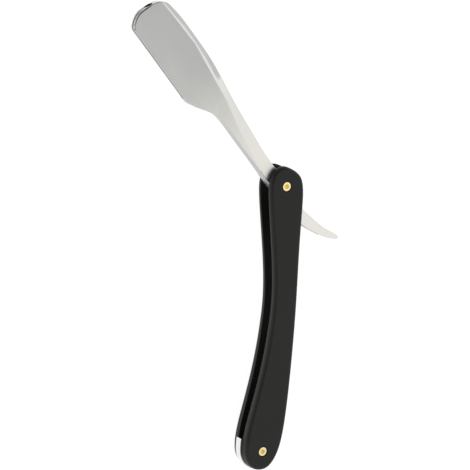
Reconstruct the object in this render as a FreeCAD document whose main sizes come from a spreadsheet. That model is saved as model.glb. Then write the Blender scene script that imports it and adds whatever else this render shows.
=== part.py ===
"""Folding razor for half blades: black scales, brass pins and a slotted steel blade holder.

Lengths are in millimetres. The razor lies on the outer face of its far scale, which is
the plane Z = 0. The origin is where the pivot's axis meets that plane, -Y runs down the
handle to its end pin, and the cutting edge faces -X.
The blade unit is drawn along its own axis, from the pivot towards the toe, and is then
turned by open_angle into the half-open place in which the razor is shown.
"""

import FreeCAD, Part
import math
import os

V = FreeCAD.Vector
PARTS_FOLDER = "parts"

# Driving sizes: name, value, what it is
SIZES = [
    ("overrun", 2.0, "how far every cutting shape passes the face that it cuts"),
    ("handle_thickness", 12.0, "both scales and the gap, outer face to outer face"),
    ("handle_width", 23.0, "from the slot's lowest bulge to the back's highest"),
    ("handle_above", 9.5, "pivot to the top of the scales"),
    ("handle_below", 139.6, "pivot to the bottom end of the scales"),
    ("end_gap", 4.1, "gap between the scales at the end, filled by the spacer"),
    ("level_top", 10.0, "level stretch of the inner faces below the pivot"),
    ("scale_round", 1.6, "rounding of the scales' outer rims"),
    ("slot_round", 0.3, "rounding of the scales' inner rims"),
    ("spacer_length", 16.9, "end spacer, from the bottom end to its top edge"),
    ("spacer_dip", 1.6, "how far the spacer's top edge sags in its middle"),
    ("spacer_stand", 0.95, "how far the spacer stands out of the scales on the slot side"),
    ("end_pin_inset", 9.6, "end pin's axis above the bottom end"),
    ("pin_radius", 0.8, "brass rod of both pins"),
    ("pin_fit", 0.02, "clearance round a pin in what it clamps"),
    ("pin_sink", 0.1, "a pin's tip below the scales' outer face"),
    ("pin_dome", 0.45, "rounding of a pin's hammered tip"),
    ("collar_radius", 2.35, "brass collar under a pin's tip"),
    ("collar_thickness", 0.8, "collar, floor to top"),
    ("collar_dome", 0.35, "rounding of a collar's outer rim"),
    ("collar_ring", 0.3, "open ring round a collar in its seat"),
    ("collar_sink", 0.15, "a collar's top below the scales' outer face"),
    ("washer_radius", 3.4, "washer between tang and scale"),
    ("washer_thickness", 1.0, "washer, face to face"),
    ("running_fit", 0.05, "clearance of what turns or slides"),
    ("open_angle", 133.6, "angle from +X to the blade unit's own axis"),
    ("tang_thickness", 5.0, "blade holder from face to face at tang and ridge"),
    ("edge_thickness", 3.2, "blade holder at its two lips"),
    ("tail_thickness", 2.4, "blade holder at the tip of its tail"),
    ("tail_start", 13.0, "pivot to where the tail starts to thin"),
    ("heel_reach", 65.5, "pivot to the heel, along the edge"),
    ("edge_drop", 13.95, "pivot to the line of the lips"),
    ("head_width", 21.75, "from the lips to the spine"),
    ("toe_bulge", 4.65, "how far the rounded toe passes the end of the lips"),
    ("tang_front", 5.4, "pivot to the front of the tang"),
    ("tail_reach", 43.15, "pivot to the tip of the tail"),
    ("tail_rise", 7.85, "how far the tail's tip curls towards the back"),
    ("tail_tip", 0.7, "radius of the tail's tip"),
    ("face_hollow", 0.12, "how hollow the holder's sides are ground"),
    ("ridge_land", 0.65, "width of the bright ridge between side and spine"),
    ("spine_drop", 0.6, "how far the bevel falls from the ridge to the spine"),
    ("blade_length", 43.0, "half blade, end to end"),
    ("blade_width", 11.0, "half blade, edge to back"),
    ("blade_thickness", 0.1, "sheet of the blade"),
    ("blade_show", 0.35, "how far the cutting edge stands out of the lips"),
    ("tab_length", 2.8, "blade tab beyond the cutting edge at each end"),
    ("tab_set", 4.8, "cutting edge to the tabs"),
    ("window_radius", 2.4, "half-round windows in the blade's back"),
    ("bevel_width", 0.45, "honed strip along the cutting edge"),
    ("heel_wall", 2.2, "steel between the heel and the slot"),
    ("heel_gap", 0.3, "blade and clip to the slot's closed end"),
    ("clip_sheet", 0.25, "spring sheet of the clip"),
    ("clip_inset", 0.25, "clip's legs inside the lips"),
    ("clip_setback", 0.2, "clip's end inside the toe"),
    ("clip_fit", 0.02, "clearance of the clip's eye in its bore"),
    ("eye_radius", 1.3, "inside radius of the clip's eye"),
    ("eye_straight", 0.9, "straight stretch of the clip's eye"),
    ("slot_side_gap", 0.1, "open gap between a clip leg and the slot's wall"),
]

doc = FreeCAD.newDocument("straight_razor")
sheet = doc.addObject("Spreadsheet::Sheet", "Sizes")
for row, (name, value, meaning) in enumerate(SIZES, start=1):
    sheet.set("A%d" % row, name)
    sheet.set("B%d" % row, repr(value))
    sheet.set("C%d" % row, meaning)
    sheet.setAlias("B%d" % row, name)
doc.recompute()


def size(name):
    """A driving size, read from the sheet."""
    return float(sheet.get(name))


# Sizes worked out from the driving ones
overrun = size("overrun")
thickness = size("handle_thickness")
mid_height = thickness / 2
half_tang = size("tang_thickness") / 2
half_edge = size("edge_thickness") / 2
half_pivot_gap = half_tang + size("running_fit") + size("washer_thickness")
half_end_gap = size("end_gap") / 2
spacer_top_y = size("spacer_length") - size("handle_below")
heel_x = size("heel_reach")
slot_x = heel_x + size("heel_wall")
blade_x = slot_x + size("heel_gap")
toe_x = blade_x + size("blade_length") - size("tab_length")
lip_y = -size("edge_drop")
spine_y = lip_y + size("head_width")
edge_length = toe_x - heel_x
blade_edge_y = lip_y - size("blade_show")
blade_back_y = blade_edge_y + size("blade_width")
leg_gap = size("blade_thickness") + 2 * size("running_fit")
half_legs = leg_gap / 2 + size("clip_sheet")
half_slot = half_legs + size("slot_side_gap")
eye_y = blade_back_y + size("clip_sheet") + size("eye_radius") + size("eye_straight") / 2

# Runs into which the smooth outlines are cut
RIM_RUNS = 6
BACK_RUNS = 5
FRONT_RUNS = 3

# Outlines and tables as shares of the sizes that they follow

# Scale rim, clockwise from the slot side of the pivot: across handle_width, and along
# handle_above or handle_below
SCALE_RIM_SHARES = [
    (-0.384, 0.12), (-0.334, 0.57), (-0.225, 0.89), (-0.085, 1.00), (0.050, 0.93),
    (0.215, 0.75), (0.357, 0.44), (0.418, 0.05), (0.456, -0.060), (0.467, -0.160),
    (0.498, -0.300), (0.531, -0.440), (0.542, -0.575), (0.538, -0.690), (0.517, -0.800),
    (0.480, -0.875), (0.404, -0.934), (0.290, -0.972), (0.132, -0.995), (-0.032, -0.999),
    (-0.175, -0.993), (-0.303, -0.975), (-0.394, -0.948), (-0.425, -0.915),
    (-0.408, -0.865), (-0.320, -0.785), (-0.219, -0.700), (-0.121, -0.595),
    (-0.064, -0.490), (-0.050, -0.410), (-0.089, -0.320), (-0.178, -0.220),
    (-0.274, -0.130), (-0.360, -0.045),
]
# Toe, from the end of the lips to the spine: of toe_bulge, and of head_width
TOE_SHARES = [
    (0.42, 0.052), (0.66, 0.122), (0.88, 0.212), (1.00, 0.310), (0.99, 0.395),
    (0.90, 0.525), (0.75, 0.660), (0.565, 0.770), (0.195, 0.866), (-0.14, 0.918),
    (-0.74, 0.951),
]
# Spine from toe to heel: of edge_length, and of head_width
SPINE_SHARES = [
    (0.80, 0.983), (0.60, 0.999), (0.33, 1.000), (0.17, 0.987), (0.03, 0.957),
]
# Back of the shank down to the pivot: of heel_reach, and of spine_y
SHANK_BACK_SHARES = [
    (0.87, 0.700), (0.70, 0.535), (0.57, 0.438), (0.43, 0.340), (0.30, 0.260),
    (0.19, 0.243), (0.09, 0.290), (0.00, 0.330), (-0.10, 0.300),
]
# Tail's upper side: of tail_reach, and of tail_rise
TAIL_BACK_SHARES = [
    (-0.407, 0.185), (-0.543, 0.325), (-0.694, 0.506), (-0.805, 0.687), (-0.905, 0.924),
]
# Tail's lower side: of tail_reach, and of tail_rise
TAIL_FRONT_SHARES = [
    (-0.915, 0.495), (-0.812, 0.138), (-0.718, -0.101), (-0.584, -0.391), (-0.402, -0.592),
]
# Front of the tang and shank up to the heel: of heel_reach, and of tang_front
SHANK_FRONT_SHARES = [
    (-0.08, -0.99), (0.06, -0.99), (0.20, -0.960), (0.38, -0.972), (0.56, -1.000),
    (0.67, -1.010), (0.725, -1.060), (0.780, -1.198),
]
# Heel's slope: of heel_reach, and of edge_drop
HEEL_SLOPE_SHARES = [(0.868, 0.687), (0.937, 0.874)]
# Ridge between side and spine: along the holder, of heel_reach or edge_length, and its
# place, of head_width above the lips
RIDGE_SHANK_SHARES = [
    (0.06, 0.363), (0.16, 0.403), (0.28, 0.443), (0.42, 0.503), (0.54, 0.545),
    (0.69, 0.643), (0.79, 0.710), (0.89, 0.748),
]
RIDGE_HEAD_SHARES = [
    (0.00, 0.799), (0.14, 0.844), (0.28, 0.868), (0.45, 0.882), (0.67, 0.879),
    (0.81, 0.853), (1.00, 0.825), (1.20, 0.808),
]
# Honed strip of the blade: its depth of the half sheet, and its cut beyond the edge
HONED_SHARE = 0.8
HONED_REACH_SHARE = 0.125
# Bevel behind the ridge, along the same stations: its fall, of spine_drop
BEVEL_FALL_SHARES = [-0.60, -0.10, 0.40, 0.75, 0.95, 1.00, 1.00, 1.00, 1.00, 1.00]
# Middles of the blade's windows, of its length from its middle
WINDOW_PLACE_SHARES = (0.34, 0, -0.34)
# Most that the outer rounding takes of a scale's wall
ROUND_WALL_SHARE = 0.95


def place_shape(label, shape, placement=None):
    """Adds a sub-part whose shape was made by Part's own functions."""
    feature = doc.addObject("Part::Feature", label)
    feature.Label = label
    feature.Shape = shape
    if placement is not None:
        feature.Placement = placement
    return feature


def new_body(label):
    """An empty body for one sub-part."""
    body = doc.addObject("PartDesign::Body", label)
    body.Label = label
    return body


def bind_place(feature, x, y, height):
    """Puts a body or a cutting cylinder where expressions of the sheet say."""
    feature.setExpression(".Placement.Base.x", x)
    feature.setExpression(".Placement.Base.y", y)
    feature.setExpression(".Placement.Base.z", height)


def sketch_on(body, role, name, geometry):
    """A sketch on one of a body's own origin planes."""
    plane = [item for item in body.Origin.OriginFeatures if item.Role == role][0]
    sketch = body.newObject("Sketcher::SketchObject", name)
    sketch.AttachmentSupport = (plane, [""])
    sketch.MapMode = "FlatFace"
    sketch.addGeometry(geometry, False)
    return sketch


def pad_outline(body, name, geometry, length, midplane):
    """A pad of an outline drawn on the body's XY plane."""
    pad = body.newObject("PartDesign::Pad", name + "_pad")
    pad.Profile = sketch_on(body, "XY_Plane", name + "_outline", geometry)
    pad.setExpression("Length", length)
    pad.Midplane = midplane
    body.Tip = pad
    doc.recompute()
    return pad


def check_cut(feature, volume_before):
    """Stops if a feature that should cut has taken nothing away."""
    if feature.Shape.Volume >= volume_before:
        raise RuntimeError("%s cuts nothing" % feature.Name)


def pocket_through(body, role, name, geometry):
    """A pocket both ways through the body, of an outline on one of its planes."""
    volume_before = body.Tip.Shape.Volume
    pocket = body.newObject("PartDesign::Pocket", name + "_pocket")
    pocket.Profile = sketch_on(body, role, name + "_outline", geometry)
    pocket.Type = "ThroughAll"
    pocket.Midplane = True
    body.Tip = pocket
    doc.recompute()
    check_cut(pocket, volume_before)
    return pocket


def bore(body, name, radius, height, place=None):
    """A round hole along Z whose sizes are expressions of the sheet."""
    volume_before = body.Tip.Shape.Volume
    hole = body.newObject("PartDesign::SubtractiveCylinder", name)
    hole.setExpression("Radius", radius)
    hole.setExpression("Height", height)
    if place is not None:
        bind_place(hole, "0", place[0], place[1])
    body.Tip = hole
    doc.recompute()
    check_cut(hole, volume_before)
    return hole


def round_edges(body, name, edges, radius):
    """A fillet on the named edges of a body's last feature."""
    base = body.Tip
    fillet = body.newObject("PartDesign::Fillet", name)
    fillet.Base = (base, edges)
    fillet.setExpression("Radius", radius)
    body.Tip = fillet
    doc.recompute()
    return fillet


def polygon(points):
    """A closed wire of straight edges."""
    return Part.makePolygon(points + points[:1])


def line_loop(points):
    """The straight lines of a closed outline."""
    return [Part.LineSegment(start, end) for start, end in zip(points, points[1:] + points[:1])]


def smooth_runs(points, run_count, closed=False):
    """A smooth curve through the points, cut into a few runs."""
    curve = Part.BSplineCurve()
    curve.interpolate(Points=points, PeriodicFlag=closed)
    knots = curve.getKnots()
    marks = [run * (len(knots) - 1) // run_count for run in range(run_count + 1)]
    runs = []
    for start, end in zip(marks, marks[1:]):
        run = curve.copy()
        run.segment(knots[start], knots[end])
        runs.append(run)
    return runs


# Scales and end spacer

PIN_PLACES = {"pivot": "0", "end": "Sizes.end_pin_inset - Sizes.handle_below"}
PIN_HOLE = "Sizes.pin_radius + Sizes.pin_fit"
COLLAR_SEAT = "Sizes.collar_radius + Sizes.collar_ring"
COLLAR_DEPTH = "Sizes.collar_sink + Sizes.collar_thickness"
MID_HEIGHT = "Sizes.handle_thickness / 2"
TANG_SIDE = "(Sizes.handle_thickness - Sizes.tang_thickness) / 2"
PIVOT_WALL = TANG_SIDE + " - Sizes.running_fit - Sizes.washer_thickness"
OUTER_ROUND = "min(Sizes.scale_round; %g * (%s - Sizes.slot_round))" % (ROUND_WALL_SHARE, PIVOT_WALL)


def rim_runs(stand=0):
    """The scales' closed outline, moved out by stand on the slot side."""
    points = []
    for across, along in SCALE_RIM_SHARES:
        reach = size("handle_above") if along > 0 else size("handle_below")
        points.append(V(across * size("handle_width") - stand, along * reach, 0))
    return smooth_runs(points, RIM_RUNS, True)


def gap_profile():
    """Half of the space between the scales, seen from the side: Y along, Z across."""
    top = size("handle_above") + overrun
    bottom = -size("handle_below") - overrun
    return line_loop([
        V(top, 0, 0),
        V(top, half_pivot_gap, 0),
        V(-size("level_top"), half_pivot_gap, 0),
        V(spacer_top_y, half_end_gap, 0),
        V(bottom, half_end_gap, 0),
        V(bottom, 0, 0),
    ])


def rim_edge_names(shape, low, high):
    """Names of the edges that follow the rim and lie between two heights."""
    names = []
    for number, edge in enumerate(shape.Edges, start=1):
        box = edge.BoundBox
        straight = isinstance(edge.Curve, Part.Line)
        if box.ZMin >= low and box.ZMax <= high and not straight:
            names.append("Edge%d" % number)
    return names


def scale_body(label):
    """One scale, its inner face towards the plane Z = 0 of its own frame."""
    scale = new_body(label)
    slab = pad_outline(scale, label, rim_runs(), MID_HEIGHT, False)
    margin = size("slot_round") / 2
    outer = rim_edge_names(slab.Shape, mid_height - margin, mid_height + margin)
    round_edges(scale, label + "_outer_round", outer, OUTER_ROUND)
    opened = pocket_through(scale, "YZ_Plane", label + "_gap", gap_profile())
    inner = rim_edge_names(opened.Shape, half_end_gap - margin, half_pivot_gap + margin)
    round_edges(scale, label + "_slot_round", inner, "Sizes.slot_round")
    for pin_name, pin_place in PIN_PLACES.items():
        bore(scale, "%s_%s_hole" % (label, pin_name), PIN_HOLE, MID_HEIGHT, (pin_place, "0"))
        seat_floor = "%s - (%s)" % (MID_HEIGHT, COLLAR_DEPTH)
        bore(scale, "%s_%s_seat" % (label, pin_name), COLLAR_SEAT, COLLAR_DEPTH, (pin_place, seat_floor))
    bind_place(scale, "0", "0", MID_HEIGHT)
    return scale


def spacer_top():
    """The outline above the spacer, whose top edge sags between two straight sides."""
    reach = size("handle_width")
    top = size("handle_above") + overrun
    left = V(-reach, spacer_top_y, 0)
    right = V(reach, spacer_top_y, 0)
    sag = V(0, spacer_top_y - size("spacer_dip"), 0)
    sides = [right, V(reach, top, 0), V(-reach, top, 0), left]
    lines = [Part.LineSegment(start, end) for start, end in zip(sides, sides[1:])]
    return [Part.Arc(left, sag, right)] + lines


near_scale = scale_body("near_scale")
far_scale = doc.addObject("Part::Mirroring", "far_scale")
far_scale.Label = "far_scale"
far_scale.Source = near_scale
far_scale.Normal = V(0, 0, 1)
far_scale.setExpression(".Base.z", MID_HEIGHT)

spacer = new_body("end_spacer")
pad_outline(spacer, "spacer", rim_runs(size("spacer_stand")), "Sizes.end_gap", True)
pocket_through(spacer, "XY_Plane", "spacer_top", spacer_top())
bore(spacer, "spacer_hole", PIN_HOLE, "Sizes.end_gap", (PIN_PLACES["end"], "-Sizes.end_gap / 2"))
bind_place(spacer, "0", "0", MID_HEIGHT)
doc.recompute()


# Pins, collars and washers

def circle_edge_names(shape, height, radius):
    """Names of the circular edges at a height, with a given radius."""
    names = []
    for number, edge in enumerate(shape.Edges, start=1):
        if not isinstance(edge.Curve, Part.Circle):
            continue
        at_height = math.isclose(edge.Curve.Center.z, height, abs_tol=Part.Precision.confusion())
        if at_height and math.isclose(edge.Curve.Radius, radius):
            names.append("Edge%d" % number)
    return names


def ring_body(label, outer, inner, height, place):
    """A flat ring: a collar or a washer."""
    body = new_body(label)
    disc = body.newObject("PartDesign::AdditiveCylinder", label + "_disc")
    disc.setExpression("Radius", outer)
    disc.setExpression("Height", height)
    doc.recompute()
    bore(body, label + "_hole", inner, height)
    bind_place(body, "0", place[0], place[1])
    doc.recompute()
    return body


for pin_name, pin_place in PIN_PLACES.items():
    pin = new_body(pin_name + "_pin")
    rod = pin.newObject("PartDesign::AdditiveCylinder", pin_name + "_rod")
    rod.setExpression("Radius", "Sizes.pin_radius")
    rod.setExpression("Height", "Sizes.handle_thickness - 2 * Sizes.pin_sink")
    doc.recompute()
    tips = circle_edge_names(rod.Shape, 0, size("pin_radius"))
    tips += circle_edge_names(rod.Shape, rod.Height.Value, size("pin_radius"))
    round_edges(pin, pin_name + "_dome", tips, "Sizes.pin_dome")
    bind_place(pin, "0", pin_place, "Sizes.pin_sink")

    near_floor = "Sizes.handle_thickness - (%s)" % COLLAR_DEPTH
    for side, floor, rim_height in (
            ("near", near_floor, size("collar_thickness")), ("far", "Sizes.collar_sink", 0)):
        label = "%s_collar_%s" % (pin_name, side)
        collar = ring_body(
            label, "Sizes.collar_radius", PIN_HOLE, "Sizes.collar_thickness", (pin_place, floor))
        rim = circle_edge_names(collar.Tip.Shape, rim_height, size("collar_radius"))
        round_edges(collar, label + "_dome", rim, "Sizes.collar_dome")

for side, washer_floor in (
        ("near", "(Sizes.handle_thickness + Sizes.tang_thickness) / 2 + Sizes.running_fit"),
        ("far", PIVOT_WALL)):
    ring_body(
        "pivot_washer_" + side, "Sizes.washer_radius", PIN_HOLE, "Sizes.washer_thickness",
        ("0", washer_floor))


# Blade unit, drawn in its own frame: X towards the toe, Y towards the spine, Z = 0 in
# the middle of its thickness

def prism(wire, start_height, end_height):
    """The solid between two heights over a flat closed wire."""
    face = Part.Face(wire)
    face.translate(V(0, 0, start_height))
    return face.extrude(V(0, 0, end_height - start_height))


unit_flip = FreeCAD.Rotation(V(1, 0, 0), 180)
unit_place = FreeCAD.Placement(
    V(0, 0, mid_height), FreeCAD.Rotation(V(0, 0, 1), size("open_angle")) * unit_flip)


def holder_outline():
    """The blade holder seen from its side: lips, toe, spine, shank, tail and heel."""
    heel = V(heel_x, lip_y, 0)
    toe = V(toe_x, lip_y, 0)
    back = [toe]
    for along, up in TOE_SHARES:
        back.append(V(toe_x + along * size("toe_bulge"), lip_y + up * size("head_width"), 0))
    for along, up in SPINE_SHARES:
        back.append(V(heel_x + along * edge_length, lip_y + up * size("head_width"), 0))
    for along, up in SHANK_BACK_SHARES:
        back.append(V(along * heel_x, up * spine_y, 0))
    for along, up in TAIL_BACK_SHARES:
        back.append(V(along * size("tail_reach"), up * size("tail_rise"), 0))
    tip_radius = size("tail_tip")
    tip = V(-size("tail_reach"), size("tail_rise"), 0)
    tip_back = tip + V(tip_radius, tip_radius, 0)
    tip_front = tip + V(tip_radius / 2, -2 * tip_radius, 0)
    back.append(tip_back)
    front = [tip_front]
    for along, up in TAIL_FRONT_SHARES:
        front.append(V(along * size("tail_reach"), up * size("tail_rise"), 0))
    for along, up in SHANK_FRONT_SHARES:
        front.append(V(along * heel_x, up * size("tang_front"), 0))
    for along, down in HEEL_SLOPE_SHARES:
        front.append(V(along * heel_x, down * lip_y, 0))
    front.append(heel)
    curves = [Part.LineSegment(heel, toe)] + smooth_runs(back, BACK_RUNS)
    curves += [Part.Arc(tip_back, tip, tip_front)] + smooth_runs(front, FRONT_RUNS)
    return Part.Wire([curve.toShape() for curve in curves])


def ridge_stations():
    """Places along the holder with the ridge's height there."""
    stations = []
    for along, up in RIDGE_SHANK_SHARES:
        stations.append((along * heel_x, lip_y + up * size("head_width")))
    for along, up in RIDGE_HEAD_SHARES:
        stations.append((heel_x + along * edge_length, lip_y + up * size("head_width")))
    return stations


def side_grind():
    """What is ground off one side between the ridge and the lips."""
    ridge_top = lip_y + max(up for along, up in RIDGE_HEAD_SHARES) * size("head_width")
    slope = (half_tang - half_edge) / (ridge_top - lip_y)
    low_y = lip_y - overrun
    sections = []
    for x, ridge_y in ridge_stations():
        width = ridge_y - low_y
        low_z = half_tang - slope * width
        middle = V(x, ridge_y - width / 2, half_tang - slope * width / 2 - size("face_hollow"))
        ridge = V(x, ridge_y, half_tang)
        lip = V(x, low_y, low_z)
        lip_top = V(x, low_y, half_tang + overrun)
        ridge_over = V(x, ridge_y, half_tang + overrun)
        sections.append(Part.Wire([
            Part.Arc(ridge, middle, lip).toShape(),
            Part.LineSegment(lip, lip_top).toShape(),
            Part.LineSegment(lip_top, ridge_over).toShape(),
            Part.LineSegment(ridge_over, ridge).toShape(),
        ]))
    return Part.makeLoft(sections, True)


def spine_bevel():
    """What is ground off one side between the ridge and the spine."""
    stations = ridge_stations()[-len(BEVEL_FALL_SHARES):]
    high_y = spine_y + overrun
    sections = []
    for (x, ridge_y), fall in zip(stations, BEVEL_FALL_SHARES):
        start_y = ridge_y + size("ridge_land")
        start_z = half_tang + max(0, -fall) * size("spine_drop")
        slope = fall * size("spine_drop") / (spine_y - start_y)
        spine = V(x, high_y, start_z - slope * (high_y - start_y))
        sections.append(polygon([
            V(x, start_y, start_z),
            spine,
            V(x, high_y, half_tang + overrun),
            V(x, start_y, half_tang + overrun),
        ]))
    return Part.makeLoft(sections, True, True)


def tail_taper():
    """What is ground off one side of the tail, thinner towards its tip."""
    start = V(-size("tail_start"), -size("edge_drop"), half_tang)
    reach = size("tail_reach") + overrun
    slope = (half_tang - size("tail_thickness") / 2) / (size("tail_reach") - size("tail_start"))
    end_z = half_tang - slope * (reach - size("tail_start"))
    profile = polygon([
        start,
        V(-reach, start.y, end_z),
        V(-reach, start.y, half_tang + overrun),
        V(start.x, start.y, half_tang + overrun),
    ])
    return Part.Face(profile).extrude(V(0, size("edge_drop") + size("head_width"), 0))


def long_hole(x, length, radius):
    """A bar along X with a round-ended section: the clip's eye, or the bore for it."""
    half = size("eye_straight") / 2
    low = V(x, eye_y - half, 0)
    high = V(x, eye_y + half, 0)
    reach_y = V(0, radius, 0)
    reach_z = V(0, 0, radius)
    section = Part.Wire([
        Part.Arc(low - reach_z, low - reach_y, low + reach_z).toShape(),
        Part.LineSegment(low + reach_z, high + reach_z).toShape(),
        Part.Arc(high + reach_z, high + reach_y, high - reach_z).toShape(),
        Part.LineSegment(high - reach_z, low - reach_z).toShape(),
    ])
    return Part.Face(section).extrude(V(length, 0, 0))


def layer(x, length, low_y, high_y, half_height):
    """A flat bar in the middle of the holder: the slot, the legs or the gap between them."""
    corner = V(x, low_y, -half_height)
    return Part.makeBox(length, high_y - low_y, 2 * half_height, corner)


open_length = edge_length + size("toe_bulge") + overrun
outline = holder_outline()
eye_outer = size("eye_radius") + size("clip_sheet")


def holder_shape():
    """The steel holder in one piece, with its keyhole slot and pivot hole."""
    solid = prism(outline, -half_tang, half_tang)
    for cutter in (side_grind(), spine_bevel(), tail_taper()):
        solid = solid.cut(cutter)
        solid = solid.cut(cutter.mirror(V(0, 0, 0), V(0, 0, 1)))
    slot = layer(slot_x, open_length, lip_y - overrun, eye_y, half_slot)
    bore = long_hole(slot_x, open_length, eye_outer + size("clip_fit"))
    solid = solid.cut(slot.fuse(bore))
    hole_radius = size("pin_radius") + size("running_fit")
    return solid.cut(Part.makeCylinder(hole_radius, 2 * half_tang, V(0, 0, -half_tang)))


def clip_shape():
    """The folded spring clip: an eye in the bore and two legs that grip the blade."""
    legs = layer(blade_x, open_length, lip_y + size("clip_inset"), eye_y, half_legs)
    solid = long_hole(blade_x, open_length, eye_outer).fuse(legs)
    solid = solid.cut(long_hole(blade_x, open_length, size("eye_radius")))
    solid = solid.cut(layer(blade_x, open_length, lip_y, eye_y, leg_gap / 2))
    toe_limit = prism(outline, -half_tang, half_tang)
    toe_limit.translate(V(-size("clip_setback"), 0, 0))
    return solid.common(toe_limit)


place_shape("blade_holder", holder_shape(), unit_place)
place_shape("blade_clip", clip_shape(), unit_place)


# Half blade

def blade_outline():
    """The half blade seen from its side, with the half-round windows in its back."""
    x_end = blade_x + size("blade_length")
    x_edge = blade_x + size("tab_length")
    y_tab = blade_edge_y + size("tab_set")
    middle = (blade_x + x_end) / 2
    reach = V(size("window_radius"), 0, 0)
    depth = V(0, size("window_radius"), 0)
    geometry = []
    corner = V(x_end, blade_back_y, 0)
    for place in WINDOW_PLACE_SHARES:
        centre = V(middle + place * size("blade_length"), blade_back_y, 0)
        geometry.append(Part.LineSegment(corner, centre + reach))
        geometry.append(Part.Arc(centre + reach, centre - depth, centre - reach))
        corner = centre - reach
    path = [
        corner, V(blade_x, blade_back_y, 0), V(blade_x, y_tab, 0), V(x_edge, y_tab, 0),
        V(x_edge, blade_edge_y, 0), V(toe_x, blade_edge_y, 0), V(toe_x, y_tab, 0),
        V(x_end, y_tab, 0), V(x_end, blade_back_y, 0),
    ]
    for start, end in zip(path, path[1:]):
        geometry.append(Part.LineSegment(start, end))
    return geometry


def honing_outline():
    """Two thin triangles, one for each side: what is honed off along the edge."""
    half = size("blade_thickness") / 2
    width = size("bevel_width")
    fall = 2 * half * HONED_SHARE
    geometry = []
    for side in (-1, 1):
        start = V(blade_edge_y + width, side * half, 0)
        beyond = blade_edge_y - width * HONED_REACH_SHARE
        low = V(beyond, side * (half - fall / 2 * (1 + HONED_REACH_SHARE)), 0)
        geometry += line_loop([start, low, V(beyond, side * half, 0)])
    return geometry


blade = new_body("half_blade")
pad_outline(blade, "blade", blade_outline(), "Sizes.blade_thickness", True)
pocket_through(blade, "YZ_Plane", "honing", honing_outline())
blade.Placement = unit_place
doc.recompute()


# Checks and export

PIECE_TYPES = ("PartDesign::Body", "Part::Mirroring", "Part::Feature")


def piece_objects():
    """The objects that are pieces: bodies, the mirrored scale, and shapes of their own."""
    return [item for item in doc.Objects if item.TypeId in PIECE_TYPES]


for item in doc.Objects:
    states = set(item.State)
    if states & {"Invalid", "Error"}:
        raise RuntimeError("%s failed: %s" % (item.Label, sorted(states)))
for piece in piece_objects():
    shape = piece.Shape
    if shape.isNull() or not shape.isValid() or len(shape.Solids) != 1:
        raise RuntimeError("%s is not one sound solid" % piece.Label)

os.makedirs(PARTS_FOLDER, exist_ok=True)
for piece in piece_objects():
    piece.Shape.exportStep(os.path.join(PARTS_FOLDER, piece.Label + ".step"))
    box = piece.Shape.BoundBox
    print("%-20s volume %9.2f  X %7.2f %7.2f  Y %8.2f %7.2f  Z %6.3f %6.3f" % (
        piece.Label, piece.Shape.Volume, box.XMin, box.XMax, box.YMin, box.YMax, box.ZMin, box.ZMax))
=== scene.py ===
import logging
import math
from dataclasses import dataclass
from enum import Enum
from typing import Any

import bmesh
import bpy
from mathutils import Matrix, Vector


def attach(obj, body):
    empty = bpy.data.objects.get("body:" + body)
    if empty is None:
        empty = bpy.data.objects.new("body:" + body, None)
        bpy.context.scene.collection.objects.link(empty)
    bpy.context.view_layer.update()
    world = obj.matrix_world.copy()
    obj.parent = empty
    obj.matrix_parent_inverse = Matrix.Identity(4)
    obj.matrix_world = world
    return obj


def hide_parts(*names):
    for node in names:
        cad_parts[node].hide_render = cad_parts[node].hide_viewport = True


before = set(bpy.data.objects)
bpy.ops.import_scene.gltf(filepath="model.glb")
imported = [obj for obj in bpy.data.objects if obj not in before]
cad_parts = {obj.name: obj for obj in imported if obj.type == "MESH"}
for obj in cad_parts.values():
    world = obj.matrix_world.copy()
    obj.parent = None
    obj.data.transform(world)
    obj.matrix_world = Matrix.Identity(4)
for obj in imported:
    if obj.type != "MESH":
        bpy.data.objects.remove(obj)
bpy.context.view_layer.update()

LOG = logging.getLogger("razor")
MILLIMETRE = 0.001
# Most of a noise texture's values lie between these two.
NOISE_LEVELS = (0.3, 0.7)

# The pivot pin lies along Z through the origin. The blade unit stands open along TOE_WAY, its spine
# lies towards SPINE_WAY, and its middle plane is MID_PLANE above the floor.
TOE_WAY = Vector((-0.68962, 0.724172, 0.0))
SPINE_WAY = Vector((0.724172, 0.68962, 0.0))
MID_PLANE = 6.0 * MILLIMETRE


def linear(hex_colour: str) -> tuple[float, float, float, float]:
    """Turn an sRGB hex colour into the linear colour that a socket takes.

    Args:
        hex_colour: the colour as six hex digits, with or without a leading hash.

    Returns:
        Red, green, blue and an alpha of one, all linear.
    """
    digits = hex_colour.lstrip("#")
    channels = [int(digits[i : i + 2], 16) / 255 for i in (0, 2, 4)]
    red, green, blue = (
        c / 12.92 if c <= 0.04045 else ((c + 0.055) / 1.055) ** 2.4 for c in channels
    )
    return red, green, blue, 1.0


def per_metre(size_mm: float) -> float:
    """The scale that gives a texture features of about this size, in millimetres."""
    return 1.0 / (size_mm * MILLIMETRE)


def add_node(
    tree: bpy.types.NodeTree,
    kind: str,
    settings: dict[str, Any] | None = None,
    inputs: dict[str | int, Any] | None = None,
) -> bpy.types.Node:
    """Add one shader node, with its settings and its links.

    Args:
        tree: the material's node tree.
        kind: the node's type name.
        settings: the node's own properties.
        inputs: for each input, an output socket to link from, or the value to set.

    Returns:
        The new node.
    """
    node = tree.nodes.new(kind)
    for name, value in (settings or {}).items():
        setattr(node, name, value)
    for name, value in (inputs or {}).items():
        if isinstance(value, bpy.types.NodeSocket):
            tree.links.new(value, node.inputs[name])
        else:
            node.inputs[name].default_value = value
    return node


def blend(
    tree: bpy.types.NodeTree,
    share: bpy.types.NodeSocket,
    start: Any,
    end: Any,
) -> bpy.types.NodeSocket:
    """Blend two colours.

    Args:
        tree: the material's node tree.
        share: how much of the end colour there is, from zero to one.
        start: the colour at zero, or the socket that gives it.
        end: the colour at one, or the socket that gives it.

    Returns:
        The socket of the blended colour.
    """
    mixed = add_node(
        tree, "ShaderNodeMix", {"data_type": "RGBA"}, {0: share, 6: start, 7: end}
    )
    return mixed.outputs[2]


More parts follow.
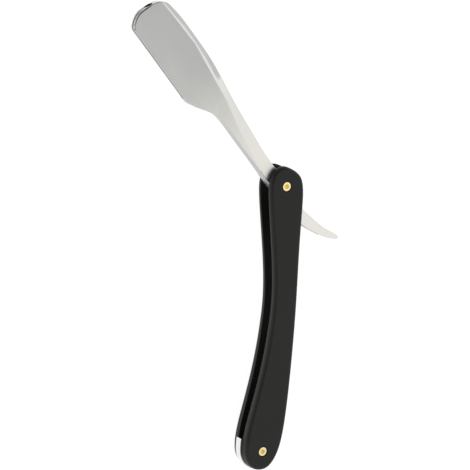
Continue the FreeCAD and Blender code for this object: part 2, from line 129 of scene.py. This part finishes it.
def spread(
    tree: bpy.types.NodeTree, pattern: bpy.types.NodeSocket, ends: Any
) -> bpy.types.NodeSocket:
    """Turn a noise pattern into roughness.

    Args:
        tree: the material's node tree.
        pattern: the noise.
        ends: the roughness at the noise's low and high levels, as values or sockets.

    Returns:
        The socket of the roughness.
    """
    low, high = NOISE_LEVELS
    levels = {"Value": pattern, "From Min": low, "From Max": high}
    targets = {"To Min": ends[0], "To Max": ends[1]}
    return add_node(tree, "ShaderNodeMapRange", inputs=levels | targets).outputs["Result"]


def relief(
    tree: bpy.types.NodeTree, pattern: bpy.types.NodeSocket, height_mm: float, strength: float
) -> bpy.types.NodeSocket:
    """Turn a noise pattern into relief in the normals.

    Args:
        tree: the material's node tree.
        pattern: the noise.
        height_mm: the relief's height in millimetres.
        strength: how much of it is applied, from zero to one.

    Returns:
        The socket of the normals.
    """
    inputs = {"Height": pattern, "Distance": height_mm * MILLIMETRE, "Strength": strength}
    return add_node(tree, "ShaderNodeBump", inputs=inputs).outputs["Normal"]


class Axis(Enum):
    """The way that a finish's grain runs."""

    BLADE = math.atan2(TOE_WAY.y, TOE_WAY.x)
    SPINE = math.atan2(SPINE_WAY.y, SPINE_WAY.x)
    HANDLE = -math.pi / 2


@dataclass(frozen=True)
class Finish:
    """What every finish has: its name, the two colours it drifts between and how rough it is."""

    name: str
    light: str
    dark: str
    metallic: float
    roughness: tuple[float, float]

    def material(self) -> bpy.types.Material:
        """Make the finish's material.

        Returns:
            The node material, with one shader fed by this finish's sockets.
        """
        material = bpy.data.materials.new(self.name)
        material.use_nodes = True
        tree = material.node_tree
        tree.nodes.clear()
        place = add_node(tree, "ShaderNodeTexCoord").outputs["Object"]
        inputs = {"Metallic": self.metallic, **self.sockets(tree, place)}
        shader = add_node(tree, "ShaderNodeBsdfPrincipled", inputs=inputs)
        add_node(tree, "ShaderNodeOutputMaterial", inputs={"Surface": shader.outputs["BSDF"]})
        return material

    def sockets(
        self, tree: bpy.types.NodeTree, place: bpy.types.NodeSocket
    ) -> dict[str | int, Any]:
        """Say what feeds the shader. Each finish has its own.

        Args:
            tree: the material's node tree.
            place: the object coordinates.

        Returns:
            The shader's inputs by name.
        """
        raise NotImplementedError


@dataclass(frozen=True)
class MouldedPlastic(Finish):
    """Black ABS from a spark-eroded mould: the fine grain turns highlights into a soft satin sheen."""

    grain_mm: float = 0.7
    flow_mm: float = 22.0
    grain_height_mm: float = 0.012
    grain_strength: float = 0.6
    ior: float = 1.5
    specular: float = 0.33

    def sockets(
        self, tree: bpy.types.NodeTree, place: bpy.types.NodeSocket
    ) -> dict[str | int, Any]:
        """Mould grain in the normals, and a slow drift of colour and sheen from the melt's flow.

        Args:
            tree: the material's node tree.
            place: the object coordinates.

        Returns:
            The shader's inputs by name.
        """
        flow = add_node(
            tree,
            "ShaderNodeTexNoise",
            inputs={"Vector": place, "Scale": per_metre(self.flow_mm), "Detail": 3.0},
        )
        # Real mould grain is about 0.05 mm. It is drawn at grain_mm so that it shows at all.
        grain = add_node(
            tree,
            "ShaderNodeTexNoise",
            inputs={"Vector": place, "Scale": per_metre(self.grain_mm), "Detail": 4.0},
        )
        pattern = grain.outputs["Fac"]
        return {
            "Base Color": blend(
                tree, flow.outputs["Fac"], linear(self.dark), linear(self.light)
            ),
            "Roughness": spread(tree, pattern, self.roughness),
            "Normal": relief(tree, pattern, self.grain_height_mm, self.grain_strength),
            "IOR": self.ior,
            "Specular IOR Level": self.specular,
        }


@dataclass(frozen=True)
class WorkedMetal(Finish):
    """Metal with a directional finish: ground or polished lines one way, and a slow drift of tone.

    Towards one end along its axis it may have other tones, one for the faces and one for the cut
    edges. These tones are painted light: a lighter one is a painted highlight and a darker one
    painted shade. end_mm says where these are reached and where they begin.
    """

    axis: Axis = Axis.BLADE
    line_mm: tuple[float, float] = (14.0, 0.5)
    line_height_mm: float = 0.002
    line_strength: float = 0.5
    line_share: float = 0.35
    drift_mm: float = 25.0
    tone_levels: tuple[float, float] = (0.45, 0.95)
    painted_tones: tuple[str, str] | None = None
    end_mm: tuple[float, float] = (0.0, 0.0)
    end_roughness: float = 0.4
    face_levels: tuple[float, float] = (0.6, 0.96)

    def sockets(
        self, tree: bpy.types.NodeTree, place: bpy.types.NodeSocket
    ) -> dict[str | int, Any]:
        """Long thin lines in tone, roughness and normals, over a slow drift of tone.

        Args:
            tree: the material's node tree.
            place: the object coordinates.

        Returns:
            The shader's inputs by name.
        """
        length, width = (size * MILLIMETRE for size in self.line_mm)
        turned = add_node(
            tree,
            "ShaderNodeMapping",
            {"vector_type": "TEXTURE"},
            {
                "Vector": place,
                "Rotation": (0.0, 0.0, self.axis.value),
                "Scale": (length, width, width),
            },
        )
        lines = add_node(
            tree,
            "ShaderNodeTexNoise",
            inputs={"Vector": turned.outputs["Vector"], "Scale": 1.0, "Detail": 3.0},
        )
        drift = add_node(
            tree,
            "ShaderNodeTexNoise",
            inputs={"Vector": place, "Scale": per_metre(self.drift_mm), "Detail": 2.0},
        )
        tone = add_node(
            tree,
            "ShaderNodeMath",
            {"operation": "MULTIPLY_ADD"},
            {0: lines.outputs["Fac"], 1: self.line_share, 2: drift.outputs["Fac"]},
        )
        low, high = self.tone_levels
        share = add_node(
            tree,
            "ShaderNodeMapRange",
            inputs={"Value": tone.outputs["Value"], "From Min": low, "From Max": high},
        )
        colour = blend(tree, share.outputs["Result"], linear(self.dark), linear(self.light))
        roughness: list[float | bpy.types.NodeSocket] = list(self.roughness)
        # Painted light towards one end: a lighter tone here is a painted highlight, a darker one
        # painted shade.
        if self.painted_tones is not None:
            along = add_node(
                tree,
                "ShaderNodeVectorMath",
                {"operation": "DOT_PRODUCT"},
                {0: place, 1: (math.cos(self.axis.value), math.sin(self.axis.value), 0.0)},
            )
            start, end = (reach * MILLIMETRE for reach in self.end_mm)
            nearness = add_node(
                tree,
                "ShaderNodeMapRange",
                {"interpolation_type": "SMOOTHSTEP"},
                {"Value": along.outputs["Value"], "From Min": end, "From Max": start},
            )
            # A cut edge faces sideways and a face looks up or down. The cut edges' darker tone is
            # painted shade.
            normal = add_node(tree, "ShaderNodeTexCoord").outputs["Normal"]
            height = add_node(tree, "ShaderNodeSeparateXYZ", inputs={"Vector": normal})
            facing = add_node(
                tree, "ShaderNodeMath", {"operation": "ABSOLUTE"}, {0: height.outputs["Z"]}
            )
            low, high = self.face_levels
            face_share = add_node(
                tree,
                "ShaderNodeMapRange",
                inputs={"Value": facing.outputs["Value"], "From Min": low, "From Max": high},
            )
            face, cut = (linear(hex_colour) for hex_colour in self.painted_tones)
            painted_tone = blend(tree, face_share.outputs["Result"], cut, face)
            colour = blend(tree, nearness.outputs["Result"], colour, painted_tone)
            for i, level in enumerate(self.roughness):
                coarser = add_node(
                    tree,
                    "ShaderNodeMapRange",
                    inputs={
                        "Value": nearness.outputs["Result"],
                        "To Min": level,
                        "To Max": self.end_roughness,
                    },
                )
                roughness[i] = coarser.outputs["Result"]
        pattern = lines.outputs["Fac"]
        return {
            "Base Color": colour,
            "Roughness": spread(tree, pattern, roughness),
            "Normal": relief(tree, pattern, self.line_height_mm, self.line_strength),
        }


@dataclass(frozen=True)
class TurnedMetal(Finish):
    """Metal turned on a lathe: fine rings round each pin, and a rim painted paler than the middle, a
    painted highlight.

    Beyond the rim, its outer edge is painted darker, painted shade where it sinks into its seat.
    axes_mm are the places of the two pins.
    """

    axes_mm: tuple[tuple[float, float], ...] = ((0.0, 0.0), (0.0, -130.0))
    ring_mm: float = 0.25
    middle_mm: tuple[float, float] = (1.0, 1.75)
    seat_shade: str = "#4A2E0C"
    seat_shade_mm: tuple[float, float] = (2.05, 2.25)
    ring_height_mm: float = 0.004
    ring_strength: float = 0.5

    def sockets(
        self, tree: bpy.types.NodeTree, place: bpy.types.NodeSocket
    ) -> dict[str | int, Any]:
        """Tool rings in roughness and normals, a painted highlight from the middle out to the rim, and
        painted shade at the outer edge.

        Args:
            tree: the material's node tree.
            place: the object coordinates.

        Returns:
            The shader's inputs by name.
        """
        flat = add_node(
            tree, "ShaderNodeVectorMath", {"operation": "MULTIPLY"}, {0: place, 1: (1.0, 1.0, 0.0)}
        )
        radius: float | bpy.types.NodeSocket = 1.0
        for x, y in self.axes_mm:
            apart = add_node(
                tree,
                "ShaderNodeVectorMath",
                {"operation": "DISTANCE"},
                {0: flat.outputs["Vector"], 1: (x * MILLIMETRE, y * MILLIMETRE, 0.0)},
            )
            nearer = add_node(
                tree,
                "ShaderNodeMath",
                {"operation": "MINIMUM"},
                {0: apart.outputs["Value"], 1: radius},
            )
            radius = nearer.outputs["Value"]
        rings = add_node(
            tree,
            "ShaderNodeTexNoise",
            {"noise_dimensions": "1D"},
            {"W": radius, "Scale": per_metre(self.ring_mm), "Detail": 2.0},
        )
        middle, rim = (reach * MILLIMETRE for reach in self.middle_mm)
        share = add_node(
            tree,
            "ShaderNodeMapRange",
            {"interpolation_type": "SMOOTHSTEP"},
            {"Value": radius, "From Min": middle, "From Max": rim},
        )
        colour = blend(tree, share.outputs["Result"], linear(self.dark), linear(self.light))
        # Painted shade: the outer edge, sunk in its seat, is painted brown.
        unshaded, brown = (reach * MILLIMETRE for reach in self.seat_shade_mm)
        seat_shade = add_node(
            tree,
            "ShaderNodeMapRange",
            {"interpolation_type": "SMOOTHSTEP"},
            {"Value": radius, "From Min": unshaded, "From Max": brown},
        )
        pattern = rings.outputs["Fac"]
        return {
            "Base Color": blend(
                tree, seat_shade.outputs["Result"], colour, linear(self.seat_shade)
            ),
            "Roughness": spread(tree, pattern, self.roughness),
            "Normal": relief(tree, pattern, self.ring_height_mm, self.ring_strength),
        }


# Satin chrome on carbon steel: an even grey with no mirror images in it. The tang and the tail,
# where the fingers hold it, have a coarser satin, which spreads the highlights. Their faces are
# painted lighter there, a painted highlight, and their cut edges darker, painted shade.
SATIN_STEEL = WorkedMetal(
    "satin_chromed_steel",
    "#BFC0BC",
    "#B7B9B8",
    1.0,
    (0.16, 0.2),
    painted_tones=("#EBE9E3", "#BCBBBD"),
    end_mm=(15.0, 76.0),
)
# Buffed stainless steel: bright, with soft images.
BUFFED_STEEL = WorkedMetal(
    "buffed_stainless_steel", "#F0EEEC", "#E2E0DE", 1.0, (0.16, 0.24), Axis.HANDLE
)
# Rolled spring strip: bright legs, and a folded eye painted black, painted shade that looks like an
# open hole.
SPRING_STRIP = WorkedMetal(
    "rolled_spring_steel",
    "#CFCDC8",
    "#C0BEBA",
    1.0,
    (0.26, 0.36),
    Axis.SPINE,
    painted_tones=("#3C3B39", "#2A2A29"),
    end_mm=(-3.0, -4.0),
)
# Stainless razor strip: bright and cold, with fine lines across from the grinding.
BLADE_STRIP = WorkedMetal("ground_razor_steel", "#F0F0EE", "#E4E4E2", 1.0, (0.2, 0.3))
# Turned brass: a pale bright rim, a painted highlight, over a yellower middle, and an outer edge
# painted brown, painted shade from its seat.
TURNED_BRASS = TurnedMetal("turned_brass", "#F2E6B6", "#E9C870", 1.0, (0.2, 0.32))
# Black ABS: dark grey rather than black under soft light.
BLACK_ABS = MouldedPlastic("moulded_black_abs", "#171512", "#110F0D", 0.0, (0.42, 0.52))


def dress(node: bpy.types.Object, material: bpy.types.Material) -> None:
    """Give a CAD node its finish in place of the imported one."""
    node.data.materials.clear()
    node.data.materials.append(material)


@dataclass
class Handle:
    """The black scales with the bright spacer and the brass pins that hold them."""

    scales: tuple[str, ...] = ("near_scale", "far_scale")
    spacer: str = "end_spacer"
    pins: tuple[str, ...] = ("pivot_pin", "end_pin")
    rings: tuple[str, ...] = (
        "pivot_collar_near",
        "pivot_collar_far",
        "end_collar_near",
        "end_collar_far",
        "pivot_washer_near",
        "pivot_washer_far",
    )

    def build(self) -> list[str]:
        """Dress the handle's nodes.

        Returns:
            The names of the pieces.
        """
        plastic = BLACK_ABS.material()
        brass = TURNED_BRASS.material()
        for name in self.scales:
            dress(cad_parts[name], plastic)
        for name in (*self.pins, *self.rings):
            dress(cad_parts[name], brass)
        dress(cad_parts[self.spacer], BUFFED_STEEL.material())
        return [*self.scales, self.spacer, *self.pins, *self.rings]


@dataclass
class BladeUnit:
    """The steel holder with its spring clip and the half blade in it.

    toe_start and tail_tip lie along TOE_WAY from the pivot, and bore_place lies along SPINE_WAY.
    A share is a part of the full rounding.
    """

    rounding: float = 0.9 * MILLIMETRE
    plain_share: float = 0.4
    tail_tip_share: float = 0.25
    slot_reach: float = 0.7 * MILLIMETRE
    toe_start: float = 105.0 * MILLIMETRE
    bore_place: float = -1.3 * MILLIMETRE
    bore_reach: tuple[float, float] = (2.4 * MILLIMETRE, 1.65 * MILLIMETRE)
    bore_fade: float = 4.0 * MILLIMETRE
    tail_tip: float = -38.0 * MILLIMETRE
    merge: float = 0.001 * MILLIMETRE
    level: float = math.radians(0.4)
    crease: float = math.radians(28)
    facet: float = math.radians(1.5)
    along_limit: float = 0.8
    segments: int = 4
    normal_weight: int = 80

    def rounded_holder(self) -> bpy.types.Object:
        """Copy the holder, merge it and round its outer edges.

        Returns:
            The finished piece, in place of the CAD node.
        """
        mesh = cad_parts["blade_holder"].data.copy()
        mesh.name = "holder_rounded"
        shape = bmesh.new()
        shape.from_mesh(mesh)
        bmesh.ops.remove_doubles(shape, verts=shape.verts, dist=self.merge)
        bmesh.ops.dissolve_limit(
            shape,
            angle_limit=self.level,
            verts=shape.verts,
            edges=shape.edges,
            use_dissolve_boundaries=False,
        )
        bmesh.ops.recalc_face_normals(shape, faces=shape.faces)
        shares = shape.edges.layers.float.new("bevel_weight_edge")
        for edge in shape.edges:
            edge[shares] = self.rounding_share(edge)
            start, end = (corner.co for corner in edge.verts)
            along = abs((end - start).normalized().dot(TOE_WAY)) > self.along_limit
            limit = self.facet if along else self.crease
            edge.smooth = edge[shares] > 0.0 or edge.calc_face_angle(0.0) < limit
        for face in shape.faces:
            face.smooth = True
        shape.to_mesh(mesh)
        shape.free()
        piece = bpy.data.objects.new("holder_rounded", mesh)
        bpy.context.scene.collection.objects.link(piece)
        rounding = piece.modifiers.new("edge_rounding", "BEVEL")
        rounding.limit_method = "WEIGHT"
        rounding.offset_type = "OFFSET"
        rounding.width = self.rounding
        rounding.segments = self.segments
        rounding.use_clamp_overlap = False
        weighted = piece.modifiers.new("face_normals", "WEIGHTED_NORMAL")
        weighted.keep_sharp = True
        weighted.weight = self.normal_weight
        dress(piece, SATIN_STEEL.material())
        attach(piece, "blade_unit")
        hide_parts("blade_holder")
        return piece

    def rounding_share(self, edge: bmesh.types.BMEdge) -> float:
        """Say how much of the full rounding an edge gets. Those at the slot and the bore stay sharp.

        Args:
            edge: an edge of the merged holder.

        Returns:
            One across the toe's near corner, less elsewhere, none at a smooth edge.
        """
        if len(edge.link_faces) != 2 or edge.calc_face_angle() < self.crease:
            return 0.0
        start, end = (corner.co for corner in edge.verts)
        height = min(abs(start.z - MID_PLANE), abs(end.z - MID_PLANE))
        middle = (start + end) / 2
        across, up = self.bore_reach
        at_bore = abs(middle.dot(SPINE_WAY) - self.bore_place) < across and height < up
        if height < self.slot_reach or at_bore:
            return 0.0
        reach = middle.dot(TOE_WAY)
        if reach < self.toe_start:
            return self.tail_tip_share if reach < self.tail_tip else self.plain_share
        if middle.z < MID_PLANE:
            return self.plain_share
        across_toe = 1.0 - abs((end - start).normalized().dot(TOE_WAY))
        to_bore = (self.bore_place - middle.dot(SPINE_WAY)) / self.bore_fade
        extra = across_toe * min(max(to_bore, 0.0), 1.0)
        return self.plain_share + (1.0 - self.plain_share) * extra

    def build(self) -> list[str]:
        """Round and dress the holder, and dress the clip and the blade.

        Returns:
            The names of the pieces.
        """
        holder = self.rounded_holder()
        dress(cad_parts["blade_clip"], SPRING_STRIP.material())
        dress(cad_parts["half_blade"], BLADE_STRIP.material())
        return [holder.name, "blade_clip", "half_blade"]


@dataclass(frozen=True)
class SoftBox:
    """One large light: where it stands, its length along the blade, its width and its strength."""

    name: str
    place: tuple[float, float, float]
    size: tuple[float, float]
    watts: float
    colour: str = "#FFFFFF"


@dataclass(frozen=True)
class TentPatch:
    """A soft-edged patch of the tent: which way it lies, how wide it is and how bright."""

    way: tuple[float, float, float]
    inner: float
    outer: float
    glow: float


@dataclass
class Studio:
    """The pale floor, the soft light and the camera at the photograph's angle.

    The camera's place and directions were solved from the pins and collars in the photograph.
    """

    camera_place: tuple[float, float, float] = (-0.43861489, 0.105009885, 0.67613722)
    camera_right: tuple[float, float, float] = (0.85391207, 0.08528056, 0.51338232)
    camera_up: tuple[float, float, float] = (0.01139344, 0.9831821, -0.18227217)
    camera_ahead: tuple[float, float, float] = (0.52029258, -0.1614936, -0.83857942)
    lens_mm: float = 130.107
    sensor_mm: float = 36.0
    clip: tuple[float, float] = (0.01, 20.0)
    floor_half: float = 3.0
    table_base: str = "#808080"
    table_roughness: float = 0.7
    table_glow: float = 0.92
    aim: tuple[float, float, float] = (-0.02, -0.03, 0.006)
    boxes: tuple[SoftBox, ...] = (
        SoftBox("strip_window", (0.425, 0.06, 0.92), (0.42, 0.1), 0.145, "#FFFBF3"),
    )
    patches: tuple[TentPatch, ...] = (
        TentPatch((-0.22, 0.58, 0.784), 25.0, 66.0, 0.24),
        TentPatch((0.75, 0.15, 0.64), 8.0, 26.0, 1.12),
    )

    def floor(self) -> None:
        """Lay the pale floor."""
        shape = bmesh.new()
        bmesh.ops.create_grid(shape, x_segments=1, y_segments=1, size=self.floor_half)
        mesh = bpy.data.meshes.new("floor")
        shape.to_mesh(mesh)
        shape.free()
        floor = bpy.data.objects.new("floor", mesh)
        bpy.context.scene.collection.objects.link(floor)
        # Opal acrylic lit from below, as for a cut-out picture: it stays white up to the object's foot.
        material = bpy.data.materials.new("opal_light_table")
        material.use_nodes = True
        tree = material.node_tree
        tree.nodes.clear()
        shader = add_node(
            tree,
            "ShaderNodeBsdfPrincipled",
            inputs={
                "Base Color": linear(self.table_base),
                "Roughness": self.table_roughness,
                "Emission Color": linear("#FFFFFF"),
                "Emission Strength": self.table_glow,
            },
        )
        add_node(tree, "ShaderNodeOutputMaterial", inputs={"Surface": shader.outputs["BSDF"]})
        mesh.materials.append(material)

    def lights(self) -> None:
        """Hang the soft boxes inside a white light tent with darker and brighter patches."""
        for box in self.boxes:
            light = bpy.data.lights.new(box.name, "AREA")
            light.shape = "RECTANGLE"
            light.size, light.size_y = box.size
            light.energy = box.watts
            light.color = linear(box.colour)[:3]
            lamp = bpy.data.objects.new(box.name, light)
            back = (Vector(box.place) - Vector(self.aim)).normalized()
            across = back.cross(TOE_WAY).normalized()
            turn = Matrix((across.cross(back), across, back)).transposed().to_4x4()
            lamp.matrix_world = Matrix.Translation(box.place) @ turn
            bpy.context.scene.collection.objects.link(lamp)
        world = bpy.data.worlds.new("light_tent")
        world.use_nodes = True
        tree = world.node_tree
        tree.nodes.clear()
        way = add_node(tree, "ShaderNodeTexCoord").outputs["Generated"]
        glow: float | bpy.types.NodeSocket = 1.0
        for patch in self.patches:
            nearness = add_node(
                tree,
                "ShaderNodeVectorMath",
                {"operation": "DOT_PRODUCT"},
                {0: way, 1: patch.way},
            )
            share = add_node(
                tree,
                "ShaderNodeMapRange",
                {"interpolation_type": "SMOOTHSTEP"},
                {
                    "Value": nearness.outputs["Value"],
                    "From Min": math.cos(math.radians(patch.outer)),
                    "From Max": math.cos(math.radians(patch.inner)),
                    "To Min": 1.0,
                    "To Max": patch.glow,
                },
            )
            product = add_node(
                tree,
                "ShaderNodeMath",
                {"operation": "MULTIPLY"},
                {0: share.outputs["Result"], 1: glow},
            )
            glow = product.outputs["Value"]
        room = add_node(
            tree,
            "ShaderNodeBackground",
            inputs={"Color": linear("#FFFFFF"), "Strength": glow},
        )
        add_node(tree, "ShaderNodeOutputWorld", inputs={"Surface": room.outputs["Background"]})
        bpy.context.scene.world = world
        bpy.context.scene.view_settings.view_transform = "Standard"

    def camera(self) -> None:
        """Set the camera where the photograph was taken from."""
        lens = bpy.data.cameras.new("photo_view")
        lens.sensor_width = self.sensor_mm
        lens.sensor_fit = "HORIZONTAL"
        lens.lens = self.lens_mm
        lens.clip_start, lens.clip_end = self.clip
        camera = bpy.data.objects.new("photo_view", lens)
        right, up, ahead = (
            Vector(way) for way in (self.camera_right, self.camera_up, self.camera_ahead)
        )
        turn = Matrix((right, up, -ahead)).transposed().to_4x4()
        camera.matrix_world = Matrix.Translation(self.camera_place) @ turn
        bpy.context.scene.collection.objects.link(camera)
        bpy.context.scene.camera = camera

    def build(self) -> list[str]:
        """Set up the studio.

        Returns:
            The names of what it holds.
        """
        self.camera()
        self.floor()
        self.lights()
        return ["photo_view", "floor", *(box.name for box in self.boxes)]


def main() -> None:
    """Build the studio and the razor, piece by piece, and report each."""
    logging.basicConfig(level=logging.INFO, format="%(name)s: %(message)s")
    for part in (Studio(), Handle(), BladeUnit()):
        for name in part.build():
            LOG.info("%s: %s", type(part).__name__, name)


if __name__ == "__main__":
    main()
